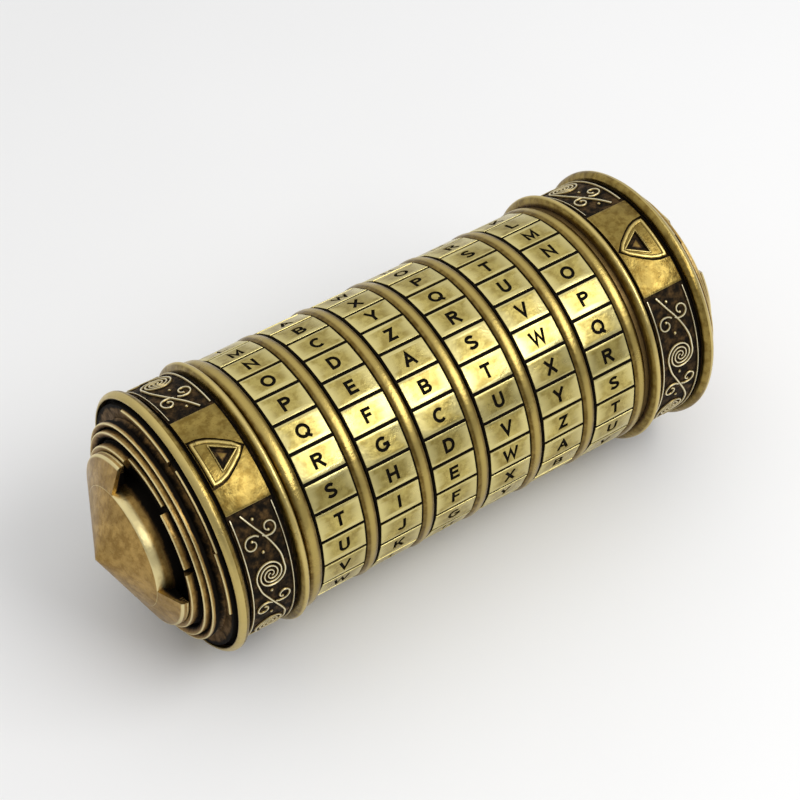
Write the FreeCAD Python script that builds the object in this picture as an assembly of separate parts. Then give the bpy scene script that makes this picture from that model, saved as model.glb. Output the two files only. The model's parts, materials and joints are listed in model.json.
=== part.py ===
"""Cryptex: a puzzle cylinder with six alphabet rings and an inner vault that slides out.

Units are millimetres. The long axis is X, the fixed cap is at +X and the vault leaves towards -X. +Z is up.
The origin is on the axis, half way between the two tips.
Angles round the axis start at -Y and grow towards +Z.
"""
import FreeCAD, Part
import math
import os

V = FreeCAD.Vector
os.makedirs("parts", exist_ok=True)

# ---- driving dimensions --------------------------------------------------------------------------
half_length = 70.0          # axis origin to the tip of either boss
ring_count = 6
letter_count = 26
read_angle = 68.0           # where both pointers and the row of lugs stand, in degrees

# letter rings
ring_radius = 25.0          # flat letter band
bead_radius = 25.25         # crest of the bead on each ring's right edge
ring_length = 12.3
ring_gap = 0.3
ring_pitch = ring_length + ring_gap
bead_width = 2.5
bead_root_depth = 0.30      # how far the foot of the bead lies below the flat band
first_ring_x = -36.45       # left face of ring 1
cell_line_width = 0.36
cell_line_depth = 0.30
edge_break = 0.25
# turn of each ring, in degrees, away from having the middle of a cell on the pointers
letter_phase = [-6.5, 1.1, 1.2, -4.8, -2.1, 4.3]

# code rings, pressed into the letter rings
code_outer_radius = 19.0
web_length = 5.0            # the solid part, which the gate goes through
channel_radius = 16.8       # room for a lug to pass round inside the ring
gate_width = 5.4

# barrel tube
tube_outer_radius = 12.8
tube_bore_radius = 9.7
ring_clearance = 0.08       # radial, between tube and code ring
slot_width = 5.0
slot_end_x = 37.4
flange_radius = 19.9
flange_thickness = 2.0

# retaining collar
collar_left_x = -39.75
collar_right_x = first_ring_x - ring_gap
collar_radius = 25.75
collar_rise = 0.75          # height of the dome above the collar's edges

# thrust washer
washer_radius = 24.6
washer_thickness = 0.9

# caps, as distances from the middle of the object along the axis
cap_face = 39.95            # inner face, towards the rings
cap_bore_radius = 20.0
inner_bead_end = 41.9
band_start = 42.65
band_end = 52.1
rim_start = 52.9
rim_end = 55.2
disc_seat = 53.4            # face that carries the end disc
band_radius = 25.55
groove_radius = 24.7
inner_bead_crest = 26.7
rim_radius = 26.7
rim_break = 0.6             # broken corners of the outer rim
rim_lip_bore = 25.6
panel_depth = 0.45
panel_margin = 0.35
plain_panel_angle = 48.0    # angular width of each smooth panel
pointer_half_width = 2.8    # of the triangle's base
pointer_base_from_rim = 3.3     # from the rim's side of the band to the triangle's base
pointer_length = 4.5
pointer_depth = 0.8
left_cap_turn = -1.0        # degrees that each cap's band stands away from the row of lugs
right_cap_turn = 1.5

# end disc: ribs as (inner radius, outer radius, top), and the floors of the grooves between them
disc_radius = 24.9
disc_spigot_start = cap_face + flange_thickness
disc_core_radius = 13.4
disc_core_end = 50.5
rib_a = (16.4, 18.6, 60.6)
rib_b = (19.4, 20.8, 59.3)
rib_c = (21.0, 22.2, 58.4)
rib_d = (23.3, disc_radius, 56.4)
floor_a = 58.5
floor_b = 57.3
seam_floor = 57.6
floor_c = 55.6
rib_rounding = 0.25
# breaks and lowered stretches: rib, its floor, share of its height taken away, first angle, sweep
rib_notches = [
    (rib_a, floor_a, 1.0, 74.0, 4.0),
    (rib_a, floor_a, 0.45, 37.0, 37.0),
    (rib_a, floor_a, 1.0, 112.0, 4.0),
    (rib_d, floor_c, 1.0, 61.0, 5.0),
    (rib_d, floor_c, 0.5, 66.0, 38.0),
    (rib_d, floor_c, 1.0, 136.0, 65.0),
]
notch_overcut = 0.05

# boss
boss_radius = 12.5
boss_rim = 64.2             # distance of the cone's edge
wing_radius = 17.5
wing_rim = 61.9
wing_start_angles = (139.0, 289.0)      # as the boss stands before it is turned end for end
wing_sweep = 108.0
wing_root_depth = 2.0       # how far a wing reaches into the cone
wing_plate = 0.9            # thickness of the plate that runs the full sweep
wing_layer_overlap = 0.6    # how far the layers reach into the plate
# layers under the plate: inner radius, outer radius, how many degrees both ends stand back
wing_layers = [(10.5, 15.1, 6.0), (15.1, 15.7, 4.0), (15.7, 16.3, 2.9), (16.3, 16.9, 1.8), (16.9, 17.5, 0.7)]
right_boss_turn = 155.0     # the two bosses are screwed on at different angles
boss_stem_radius = 6.0
boss_stem_start = 52.5

# vault
vault_bore_radius = 8.0
vault_outer_radius = 9.6
vault_mouth_x = 37.0
vault_closed_x = -cap_face

# lugs and their rail
rail_width = 4.6
rail_top_radius = 12.4
rail_start_x = -38.5
lug_top_radius = 16.2
lug_length = 3.6
lug_offset = 6.2            # from a ring's left face to its lug
rail_end_margin = 0.3       # rail past the last lug
rail_overlap = 1.0          # overlap of two bodies that become one
rivet_count = 6
rivet_radius = 0.9
rivet_head_radius = 1.6
rivet_head_height = 0.7
rivet_tip_radius = 8.4

# screws
cap_screw_count = 3
cap_screw_circle = 16.4
cap_screw_radius = 1.25
cap_screw_head_radius = 2.4
cap_screw_length = 7.0
lock_screw_count = 3
lock_screw_radius = 1.2
lock_screw_length = 3.0
boss_screw_radius = 2.0
boss_screw_head_radius = 3.8
boss_screw_head_height = 2.2
boss_screw_tip = 60.0

margin = 1.0                # how far a cutting shape reaches past the surface it cuts


# ---- helpers -------------------------------------------------------------------------------------
def turned(points):
    """Solid of revolution about X from a closed outline of (x, radius) points."""
    corners = [V(x, 0, r) for x, r in points]
    wire = Part.makePolygon(corners + [corners[0]])
    return Part.Face(wire).revolve(V(0, 0, 0), V(1, 0, 0), 360)


def turned_sector(points, start_angle, sweep):
    """Part of a turned solid, from start_angle through sweep degrees."""
    corners = [V(x, -r, 0) for x, r in points]
    wire = Part.makePolygon(corners + [corners[0]])
    solid = Part.Face(wire).revolve(V(0, 0, 0), V(1, 0, 0), -sweep)
    return about_axis(solid, start_angle)


def ring_sector(inner, outer, x_low, x_high, start_angle, sweep):
    """Sector of a plain ring between two radii and two places along the axis."""
    corners = [(x_low, inner), (x_high, inner), (x_high, outer), (x_low, outer)]
    return turned_sector(corners, start_angle, sweep)


def about_axis(shape, angle):
    """Copy turned about the long axis so that what stood at angle 0 stands at the given angle."""
    copy = shape.copy()
    copy.rotate(V(0, 0, 0), V(1, 0, 0), -angle)
    return copy


def end_for_end(shape):
    """Copy turned half a turn about the line through the pointers, which swaps the two ends."""
    radians = math.radians(read_angle)
    copy = shape.copy()
    copy.rotate(V(0, 0, 0), V(0, -math.cos(radians), math.sin(radians)), 180)
    return copy


def radial_bar(x_low, x_high, width, inner, outer, angle):
    """Rectangular bar that points outwards at the given angle."""
    bar = Part.makeBox(x_high - x_low, outer - inner, width, V(x_low, -outer, -width / 2))
    return about_axis(bar, angle)


def pin_along_axis(x_low, x_high, radius, offset, angle):
    """Round pin parallel to the long axis, at a distance from it."""
    pin = Part.makeCylinder(radius, x_high - x_low, V(x_low, -offset, 0), V(1, 0, 0))
    return about_axis(pin, angle)


def bead(x_low, x_high, base, crest, steps=10):
    """Outline points of a half-round bead from (x_low, base) to (x_high, base), rising to crest."""
    middle = (x_low + x_high) / 2
    half = (x_high - x_low) / 2
    points = []
    for k in range(steps + 1):
        around = math.pi * k / steps
        points.append((middle - half * math.cos(around), base + (crest - base) * math.sin(around)))
    return points


def rounded_rib(inner, outer, top, floor):
    """Outline points of one rib on an end disc, in (distance, radius), with broken corners."""
    b = rib_rounding
    return [(floor, inner), (top - b, inner), (top, inner + b),
            (top, outer - b), (top - b, outer), (floor, outer)]


def screw_angles(count):
    """Angles of evenly spaced screws that keep clear of the row of lugs."""
    return [read_angle + 360.0 * (k + 0.5) / count for k in range(count)]


def group(shapes):
    return Part.makeCompound(shapes)


def save(name, shape):
    shape.exportStep("parts/%s.step" % name)
    print(name, "solids", len(shape.Solids), "volume %.1f" % shape.Volume, "valid", shape.isValid())


# ---- rings ---------------------------------------------------------------------------------------
def ring_left(index):
    return first_ring_x + ring_pitch * index


def letter_ring(index):
    """Outer ring: 26 flat cells parted by fine lines, and a bead along the right edge."""
    left = ring_left(index)
    right = left + ring_length
    band_right = right - bead_width
    line = cell_line_width
    bead_root = ring_radius - bead_root_depth
    outline = [(left, code_outer_radius), (left, ring_radius - edge_break), (left + edge_break, ring_radius),
               (band_right - line, ring_radius), (band_right - line, bead_root), (band_right, bead_root)]
    outline += bead(band_right, right, bead_root, bead_radius)[1:]
    outline.append((right, code_outer_radius))
    ring = turned(outline)
    line_floor = ring_radius - cell_line_depth
    cuts = []
    for k in range(letter_count):
        angle = read_angle + 360.0 * (k + 0.5) / letter_count
        cuts.append(radial_bar(left - margin, band_right - line, line,
                               line_floor, ring_radius + margin, angle))
    return about_axis(ring.cut(group(cuts)), letter_phase[index])


def code_ring(index):
    """Inner ring: a web with one gate, then a channel that lets the lug go round."""
    left = ring_left(index)
    right = left + ring_length
    bore = tube_outer_radius + ring_clearance
    outline = [(left, bore), (left + web_length, bore), (left + web_length, channel_radius),
               (right, channel_radius), (right, code_outer_radius), (left, code_outer_radius)]
    gate = radial_bar(left - margin, left + web_length + margin, gate_width, bore - margin, channel_radius,
                      read_angle)
    return turned(outline).cut(gate)


# ---- barrel --------------------------------------------------------------------------------------
def lock_screw_pins():
    return [pin_along_axis(collar_left_x, collar_left_x + lock_screw_length, lock_screw_radius,
                           tube_outer_radius, angle) for angle in screw_angles(lock_screw_count)]


def cap_screw(angle):
    """Countersunk screw through the tube's flange into the end disc, head towards the rings."""
    head_left = cap_face
    neck = head_left + cap_screw_head_radius - cap_screw_radius
    tip = head_left + cap_screw_length
    screw = turned([(head_left, 0), (head_left, cap_screw_head_radius), (neck, cap_screw_radius),
                    (tip, cap_screw_radius), (tip, 0)])
    screw.translate(V(0, -cap_screw_circle, 0))
    return about_axis(screw, angle)


def cap_screws():
    return [cap_screw(angle) for angle in screw_angles(cap_screw_count)]


def outer_tube():
    """Slotted tube with a flange at its right end."""
    right = cap_face + flange_thickness
    tube = turned([(collar_left_x, tube_bore_radius), (right, tube_bore_radius), (right, flange_radius),
                   (cap_face, flange_radius), (cap_face, tube_outer_radius),
                   (collar_left_x, tube_outer_radius)])
    slot = radial_bar(collar_left_x - margin, slot_end_x, slot_width, tube_bore_radius - margin,
                      tube_outer_radius + margin, read_angle)
    return tube.cut(group([slot] + lock_screw_pins() + cap_screws()))


def retaining_collar():
    """Collar that keeps the rings on the tube, with a gate for the lugs and a softly domed edge."""
    outline = [(collar_left_x, tube_outer_radius)]
    outline += bead(collar_left_x, collar_right_x, collar_radius - collar_rise, collar_radius)
    outline.append((collar_right_x, tube_outer_radius))
    gate = radial_bar(collar_left_x - margin, collar_right_x + margin, gate_width,
                      tube_outer_radius - margin, channel_radius, read_angle)
    return turned(outline).cut(group([gate] + lock_screw_pins()))


def thrust_washer():
    left = cap_face - washer_thickness
    return turned([(left, tube_outer_radius), (cap_face, tube_outer_radius),
                   (cap_face, washer_radius), (left, washer_radius)])


# ---- caps, drawn for the right-hand end and its angles, then turned end for end for the left -----
def cap_band():
    """Outer ring of a cap: inner bead, groove, decorated band, groove and outer rim."""
    outline = [(cap_face, cap_bore_radius)]
    outline += bead(cap_face, inner_bead_end, groove_radius, inner_bead_crest)
    outline += [(band_start, groove_radius), (band_start, band_radius - edge_break),
                (band_start + edge_break, band_radius), (band_end - edge_break, band_radius),
                (band_end, band_radius - edge_break), (band_end, groove_radius), (rim_start, groove_radius),
                (rim_start, rim_radius - rim_break), (rim_start + rim_break, rim_radius),
                (rim_end - rim_break, rim_radius), (rim_end, rim_radius - rim_break),
                (rim_end, rim_lip_bore), (disc_seat, rim_lip_bore), (disc_seat, cap_bore_radius)]
    band = turned(outline)
    panel_sweep = 180.0 - plain_panel_angle
    panels = [ring_sector(band_radius - panel_depth, band_radius + margin, band_start + panel_margin,
                          band_end - panel_margin, read_angle + plain_panel_angle / 2 + turn, panel_sweep)
              for turn in (0, 180)]
    return band.cut(group(panels + [pointer_recess()]))


def pointer_recess():
    """Triangle cut into the smooth panel, its tip towards the rings."""
    outside = -band_radius - margin
    base_x = band_end - pointer_base_from_rim
    tip_x = base_x - pointer_length
    corners = [V(base_x, outside, -pointer_half_width), V(base_x, outside, pointer_half_width),
               V(tip_x, outside, 0)]
    prism = Part.Face(Part.makePolygon(corners + [corners[0]])).extrude(V(0, margin + pointer_depth, 0))
    return about_axis(prism, read_angle)


def end_disc():
    """Stepped end face: four ribs round a seat for the boss, with notches that differ from rib to rib."""
    outline = [(disc_spigot_start, disc_core_radius), (disc_core_end, disc_core_radius),
               (disc_core_end, boss_stem_radius), (floor_a, boss_stem_radius)]
    outline += rounded_rib(*rib_a, floor_a)
    outline += [(floor_b, rib_a[1])]
    outline += [(floor_b, rib_b[0])] + rounded_rib(*rib_b, floor_b)[1:-1]
    outline += [(seam_floor, rib_b[1]), (seam_floor, rib_c[0])] + rounded_rib(*rib_c, seam_floor)[1:-1]
    outline += [(floor_c, rib_c[1]), (floor_c, rib_d[0])] + rounded_rib(*rib_d, floor_c)[1:-1]
    outline += [(disc_seat, disc_radius), (disc_seat, cap_bore_radius),
                (disc_spigot_start, cap_bore_radius)]
    disc = turned(outline)
    return disc.cut(group(disc_notches() + cap_screws() + boss_screw_hole()))


def disc_notches():
    """Short breaks and lowered stretches in ribs A and D, repeated on the far side."""
    cutters = []
    for (inner, outer, top), floor, share, start, sweep in rib_notches:
        low = top - (top - floor) * share
        for turn in (0, 180):
            cutters.append(ring_sector(inner - notch_overcut, outer + notch_overcut, low, top + margin,
                                       start + turn, sweep))
    return cutters


def boss_screw_hole():
    return [pin_along_axis(disc_core_end - margin, floor_a, boss_screw_radius, 0, 0)]


def boss():
    """Low cone whose surface runs on outwards in two wings with layered ends."""
    cone = turned([(boss_stem_start, 0), (half_length, 0), (boss_rim, boss_radius), (floor_a, boss_radius),
                   (floor_a, boss_stem_radius), (boss_stem_start, boss_stem_radius)])
    parts = [cone]
    for start in wing_start_angles:
        parts.append(turned_sector(wing_plate_outline(), start, wing_sweep))
        for inner, outer, setback in wing_layers:
            outline = wing_layer_outline(inner, outer)
            parts.append(turned_sector(outline, start + setback, wing_sweep - 2 * setback))
    fused = parts[0].multiFuse(parts[1:]).removeSplitter()
    thread = pin_along_axis(boss_stem_start - margin, boss_screw_tip, boss_screw_radius, 0, 0)
    return fused.cut(thread)


def wing_surface(radius):
    """Height of a wing's outer face at a distance from the axis."""
    slope = (boss_rim - wing_rim) / (wing_radius - boss_radius)
    return boss_rim - slope * max(0.0, radius - boss_radius)


def wing_plate_outline():
    inner = boss_radius - wing_root_depth
    top = [(wing_surface(r), r) for r in (inner, boss_radius, wing_radius)]
    bottom = [(x - wing_plate, r) for x, r in reversed(top)]
    return top + bottom


def wing_layer_outline(inner, outer):
    """One layer between the end disc and the plate."""
    underside = rib_a[2]
    drop = wing_plate - wing_layer_overlap
    return [(underside, inner), (wing_surface(inner) - drop, inner),
            (wing_surface(outer) - drop, outer), (underside, outer)]


def boss_screw():
    """Cap-head screw from inside the end disc into the boss."""
    head_start = disc_core_end - boss_screw_head_height
    return turned([(head_start, 0), (head_start, boss_screw_head_radius),
                   (disc_core_end, boss_screw_head_radius), (disc_core_end, boss_screw_radius),
                   (boss_screw_tip, boss_screw_radius), (boss_screw_tip, 0)])


# ---- vault ---------------------------------------------------------------------------------------
def rivet(x):
    """Countersunk rivet through the rail into the vault tube's wall."""
    top = rail_top_radius
    neck = top - rivet_head_height
    shank = Part.makeCylinder(rivet_radius, top - rivet_tip_radius, V(x, 0, rivet_tip_radius))
    head = Part.makeCone(rivet_radius, rivet_head_radius, rivet_head_height, V(x, 0, neck))
    both = shank.fuse(head)
    return about_axis(both, read_angle - 90)


def rivets():
    first = ring_left(0) + web_length / 2
    return [rivet(first + ring_pitch * k) for k in range(rivet_count)]


def lug_rail_end():
    return ring_left(ring_count - 1) + lug_offset + lug_length + rail_end_margin


def vault_tube():
    """Thin tube, closed by a flange at its left end and open at its right."""
    flange_left = vault_closed_x - flange_thickness
    mouth = vault_mouth_x
    tube = turned([(flange_left, 0), (flange_left, flange_radius), (vault_closed_x, flange_radius),
                   (vault_closed_x, vault_outer_radius), (mouth, vault_outer_radius),
                   (mouth, vault_bore_radius), (vault_closed_x, vault_bore_radius), (vault_closed_x, 0)])
    screws = [end_for_end(screw) for screw in cap_screws()]
    return tube.cut(group(screws + rivets()))


def lug_rail():
    """Bar in the barrel's slot, with one lug for each ring."""
    end = lug_rail_end()
    bars = [radial_bar(rail_start_x, end, rail_width, vault_bore_radius, rail_top_radius, read_angle)]
    for index in range(ring_count):
        left = ring_left(index) + lug_offset
        bars.append(radial_bar(left, left + lug_length, rail_width, rail_top_radius - rail_overlap,
                               lug_top_radius, read_angle))
    rail = bars[0].multiFuse(bars[1:]).removeSplitter()
    start = V(-half_length, 0, 0)
    vault_surface = Part.makeCylinder(vault_outer_radius, 2 * half_length, start, V(1, 0, 0))
    return rail.cut(vault_surface).cut(group(rivets()))


# ---- the whole object ----------------------------------------------------------------------------
def main():
    save("outer_tube", outer_tube())
    save("retaining_collar", retaining_collar())
    save("collar_lock_screws", group(lock_screw_pins()))
    save("thrust_washer", thrust_washer())
    for index in range(ring_count):
        save("letter_ring_%d" % (index + 1), letter_ring(index))
        save("code_ring_%d" % (index + 1), code_ring(index))
    save("vault_tube", vault_tube())
    save("lug_rail", lug_rail())
    save("lug_rivets", group(rivets()))
    band = cap_band()
    save("right_cap_band", about_axis(band, right_cap_turn))
    save("left_cap_band", about_axis(end_for_end(band), left_cap_turn))
    end_boss = boss()
    save("right_boss", about_axis(end_boss, right_boss_turn))
    save("left_boss", end_for_end(end_boss))
    cap_parts = {"end_disc": end_disc(), "boss_screw": boss_screw(), "cap_screws": group(cap_screws())}
    for name, shape in cap_parts.items():
        save("right_" + name, shape)
        save("left_" + name, end_for_end(shape))


main()
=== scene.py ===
"""Looks of the cryptex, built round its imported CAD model.

Everything is in metres in the CAD frame: the long axis is X, the fixed cap is at +X, and +Z is up.
Shapes are worked out in millimetres and scaled once, when a mesh is made.
Angles round the axis start at -Y and grow towards +Z, in degrees.
"""
import bmesh
import bpy
import json
import math
import random
from mathutils import Matrix, Vector

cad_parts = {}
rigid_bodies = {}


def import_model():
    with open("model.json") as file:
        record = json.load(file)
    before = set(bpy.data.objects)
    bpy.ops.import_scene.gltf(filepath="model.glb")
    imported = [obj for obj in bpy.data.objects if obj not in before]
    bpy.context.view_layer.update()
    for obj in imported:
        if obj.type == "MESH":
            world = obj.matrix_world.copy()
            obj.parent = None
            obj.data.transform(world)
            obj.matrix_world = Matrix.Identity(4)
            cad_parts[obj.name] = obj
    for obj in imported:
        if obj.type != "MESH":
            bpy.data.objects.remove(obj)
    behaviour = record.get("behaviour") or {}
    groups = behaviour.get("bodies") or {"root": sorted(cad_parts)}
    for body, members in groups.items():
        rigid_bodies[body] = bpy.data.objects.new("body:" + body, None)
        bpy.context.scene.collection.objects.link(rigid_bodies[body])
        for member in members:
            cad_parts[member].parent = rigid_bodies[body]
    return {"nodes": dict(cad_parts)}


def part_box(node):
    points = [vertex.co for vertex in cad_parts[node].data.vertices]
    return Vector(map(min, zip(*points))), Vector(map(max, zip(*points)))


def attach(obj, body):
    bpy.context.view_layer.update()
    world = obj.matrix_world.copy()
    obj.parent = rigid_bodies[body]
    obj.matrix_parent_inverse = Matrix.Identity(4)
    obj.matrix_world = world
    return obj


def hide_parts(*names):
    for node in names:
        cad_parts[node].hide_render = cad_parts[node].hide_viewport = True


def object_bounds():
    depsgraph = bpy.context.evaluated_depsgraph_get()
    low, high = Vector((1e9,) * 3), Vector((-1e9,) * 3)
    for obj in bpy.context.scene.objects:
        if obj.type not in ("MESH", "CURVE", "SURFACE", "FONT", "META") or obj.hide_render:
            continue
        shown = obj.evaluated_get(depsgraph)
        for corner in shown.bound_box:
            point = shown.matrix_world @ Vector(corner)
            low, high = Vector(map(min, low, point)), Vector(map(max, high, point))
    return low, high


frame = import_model()
cad_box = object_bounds()

MM = 0.001
TAU = 2 * math.pi

# ---- sizes in millimetres, as in the CAD model ------------------------------------------------------
RING_COUNT = 6
LETTERS = "ABCDEFGHIJKLMNOPQRSTUVWXYZ"
READ_ANGLE = 68.0                # the pointers' line, in degrees round the axis
RING_RADIUS = 25.0
RING_LENGTH = 12.3
BEAD_WIDTH = 2.5
BEAD_CREST = 25.25
RING_BORE = 19.0
FLOOR_RADIUS = 24.62             # ground between the letter cells
FRONT_LETTER = "QEASVO"          # letter of each ring that stands at the pointers, from the left
RING_PHASE = [-6.5, 1.1, 1.2, -4.8, -2.1, 4.3]   # how far that letter stands off their line, in degrees

CAP_FACE = 39.95
INNER_BEAD_END = 41.9
BAND_START = 42.65
BAND_END = 52.1
RIM_START = 52.9
RIM_END = 55.2
DISC_SEAT = 53.4
BAND_RADIUS = 25.55
GROOVE_RADIUS = 24.7
BEAD_CREST_CAP = 26.7
RIM_RADIUS = 26.7
LIP_BORE = 25.6
CAP_BORE = 20.0
PANEL_DEPTH = 0.45
PANEL_FLOOR = BAND_RADIUS - PANEL_DEPTH
BAND_WIDTH = BAND_END - BAND_START
PLAIN_SWEEP = 48.0
CARVED_SWEEP = 180.0 - PLAIN_SWEEP

COLLAR_BORE = 12.9
COLLAR_EDGE = 24.7
COLLAR_CREST = 25.75

DISC_BACK = 52.0
DISC_RADIUS = 24.7
DISC_BORE = 6.1                  # hole for the boss's screw
BOSS_SEAT = 58.5
BOSS_RADIUS = 12.5
BOSS_RIM = 64.2
BOSS_TIP = 70.0
WING_RADIUS = 17.5
WING_RIM = 61.9
WING_STARTS = (139.0, 289.0)
WING_SWEEP = 108.0
WING_PLATE = 0.9                 # thickness of the plate on top of the layers
# inner radius, outer radius and setback of each layer's ends in degrees
WING_LAYERS = [(10.5, 15.1, 6.0), (15.1, 15.7, 4.0), (15.7, 16.3, 2.9), (16.3, 16.9, 1.8), (16.9, 17.5, 0.7)]
# how far each piece stands from the plain layout, in degrees round the axis
PIECE_TURN = {"left_cap_band": -1.0, "right_cap_band": 1.5, "right_boss": 155.0}
# half a turn round the line from the object's middle out to the pointers, which swaps the two ends
END_FLIP = Matrix.Rotation(math.pi, 4, Vector((0, -math.cos(math.radians(READ_ANGLE)),
                                               math.sin(math.radians(READ_ANGLE)))))

# ---- fineness of the meshes: parts of a whole turn, and rows across a bent plate ---------------------
RING_SEGMENTS = 234
BAND_SEGMENTS = 240
RIB_SEGMENTS = 208
END_SEGMENTS = 180
BOSS_SEGMENTS = 144
CORNER_STEPS = 3
BEAD_STEPS = 16
CELL_ROWS = 8
SHIELD_ROWS = 16
PANEL_ROWS = 36


# ---- mesh helpers ------------------------------------------------------------------------------------
def wrap(x, angle, radius):
    """Point at a place along the axis, an angle round it and a distance from it, in millimetres."""
    a = math.radians(angle)
    return Vector((x, -radius * math.cos(a), radius * math.sin(a)))


class Shape:
    """Points, faces and a relief value for each point: 0 at the bottom of a recess, 1 on a worn crest; on the
    end ribs, wing layers and boss wall the value also paints highlight and shade.
    """

    def __init__(self):
        self.points = []
        self.relief = []
        self.faces = []
        self.slots = []

    def add(self, points, relief, faces, slot=0):
        """Takes in points with their relief, and faces that count from the first of them."""
        start = len(self.points)
        self.points += points
        self.relief += relief
        self.faces += [[start + i for i in face] for face in faces]
        self.slots += [slot] * len(faces)

    def turn(self, matrix):
        """Moves every point by a matrix."""
        self.points = [matrix @ p for p in self.points]


def make_piece(name, shape, materials, body, sharp=35.0):
    """Mesh object from a shape, scaled to metres, shaded smooth except at sharp edges."""
    mesh = bpy.data.meshes.new(name)
    mesh.from_pydata([tuple(p * MM) for p in shape.points], [], shape.faces)
    for material in materials:
        mesh.materials.append(material)
    relief = mesh.attributes.new("relief", "FLOAT", "POINT")
    relief.data.foreach_set("value", shape.relief)
    mesh.polygons.foreach_set("material_index", shape.slots)
    mesh.validate()
    bm = bmesh.new()
    bm.from_mesh(mesh)
    bmesh.ops.recalc_face_normals(bm, faces=bm.faces)
    bm.to_mesh(mesh)
    bm.free()
    mesh.polygons.foreach_set("use_smooth", [True] * len(mesh.polygons))
    mesh.set_sharp_from_angle(angle=math.radians(sharp))
    mesh.update()
    piece = bpy.data.objects.new(name, mesh)
    bpy.context.scene.collection.objects.link(piece)
    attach(piece, body)
    return piece


def rounded(corners):
    """Outline with broken corners from (x, radius, rounding, relief) rows."""
    outline = []
    count = len(corners)
    for i, (x, r, rounding, relief) in enumerate(corners):
        here = Vector((x, r))
        if rounding <= 0:
            outline.append((x, r, relief))
            continue
        before = Vector(corners[i - 1][:2]) - here
        after = Vector(corners[(i + 1) % count][:2]) - here
        reach = min(rounding, before.length * 0.49, after.length * 0.49)
        start = here + before.normalized() * reach
        end = here + after.normalized() * reach
        for k in range(CORNER_STEPS + 1):
            t = k / CORNER_STEPS
            p = start * (1 - t) ** 2 + here * 2 * t * (1 - t) + end * t ** 2
            outline.append((p.x, p.y, relief))
    return outline


def half_round(x_low, x_high, base, crest, low_relief=0.25):
    """Outline of a half-round bead, with patina low on its sides."""
    rows = []
    for k in range(BEAD_STEPS + 1):
        a = math.pi * k / BEAD_STEPS
        rise = math.sin(a) ** 0.8
        x = (x_low + x_high) / 2 - (x_high - x_low) / 2 * math.cos(a)
        rows.append((x, base + (crest - base) * rise, low_relief + (1 - low_relief) * rise))
    return rows


def turn_outline(outline, segments, start=0.0, sweep=360.0, wobble=0.0):
    """Ring, or part of one with closed ends, from a closed outline of (x, radius, relief).

    wobble makes the raised places uneven by up to that much, so that they don't look machined.
    """
    whole = sweep >= 360.0
    steps = segments if whole else max(2, round(segments * sweep / 360.0))
    columns = steps if whole else steps + 1
    n = len(outline)
    shape = Shape()
    points, relief, faces = [], [], []
    for i in range(columns):
        angle = start + sweep * i / steps
        lift = wobble * math.sin(math.radians(angle * 3)) * math.sin(math.radians(angle * 7 + 40))
        for x, r, value in outline:
            points.append(wrap(x, angle, r + (lift if value > 0.5 else 0.0)))
            relief.append(value)
    for i in range(steps):
        a = i * n
        b = ((i + 1) % columns) * n
        for j in range(n):
            k = (j + 1) % n
            faces.append([a + j, a + k, b + k, b + j])
    if not whole:
        faces.append(list(range(n)))
        faces.append([steps * n + j for j in reversed(range(n))])
    shape.add(points, relief, faces)
    return shape


def merge(target, part, slot=0):
    """Adds the whole of one shape to another, in one material slot."""
    target.add(part.points, part.relief, part.faces, slot)


# ---- flat plates with cut-outs, bent round the axis --------------------------------------------------
def signed_area(outline):
    """Area of a closed flat outline, below zero if it runs clockwise."""
    return sum(a[0] * b[1] - b[0] * a[1] for a, b in zip(outline, outline[1:] + outline[:1])) / 2


def prism(outline, low, high):
    """Mesh of an upright prism from a closed flat outline."""
    if signed_area(outline) <= 0:
        outline = list(reversed(outline))
    bm = bmesh.new()
    bottom = [bm.verts.new((x, y, low)) for x, y in outline]
    top = [bm.verts.new((x, y, high)) for x, y in outline]
    n = len(outline)
    bm.faces.new(list(reversed(bottom)))
    bm.faces.new(top)
    for i in range(n):
        j = (i + 1) % n
        bm.faces.new([bottom[i], bottom[j], top[j], top[i]])
    mesh = bpy.data.meshes.new("prism")
    bm.to_mesh(mesh)
    bm.free()
    return mesh


def plate(width, height, thickness, chamfer):
    """Rectangle centred on the origin, its top edge broken by a small chamfer."""
    bm = bmesh.new()
    rows = [(0.0, 0.0), (thickness - chamfer, 0.0), (thickness - chamfer * 0.3, chamfer * 0.35),
            (thickness, chamfer)]
    loops = []
    for z, inset in rows:
        w, h = width / 2 - inset, height / 2 - inset
        loops.append([bm.verts.new(p) for p in ((-w, -h, z), (w, -h, z), (w, h, z), (-w, h, z))])
    bm.faces.new(list(reversed(loops[0])))
    bm.faces.new(loops[-1])
    for lower, upper in zip(loops, loops[1:]):
        for i in range(4):
            j = (i + 1) % 4
            bm.faces.new([lower[i], lower[j], upper[j], upper[i]])
    mesh = bpy.data.meshes.new("plate")
    bm.to_mesh(mesh)
    bm.free()
    return mesh


def cut_out(mesh, outlines):
    """The mesh with each outline cut right through it, one after another."""
    objects = bpy.context.scene.collection.objects
    for outline in outlines:
        tool_mesh = prism(outline, -1.0, 2.0)
        body = bpy.data.objects.new("cut_body", mesh)
        tool = bpy.data.objects.new("cut_tool", tool_mesh)
        objects.link(body)
        objects.link(tool)
        cut = body.modifiers.new("cut", "BOOLEAN")
        cut.operation = "DIFFERENCE"
        cut.solver = "EXACT"
        cut.use_self = True
        cut.object = tool
        graph = bpy.context.evaluated_depsgraph_get()
        graph.update()
        result = bpy.data.meshes.new_from_object(body.evaluated_get(graph))
        for spent in (body, tool):
            bpy.data.objects.remove(spent)
        bpy.data.meshes.remove(tool_mesh)
        bpy.data.meshes.remove(mesh)
        mesh = result
    return mesh


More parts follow.
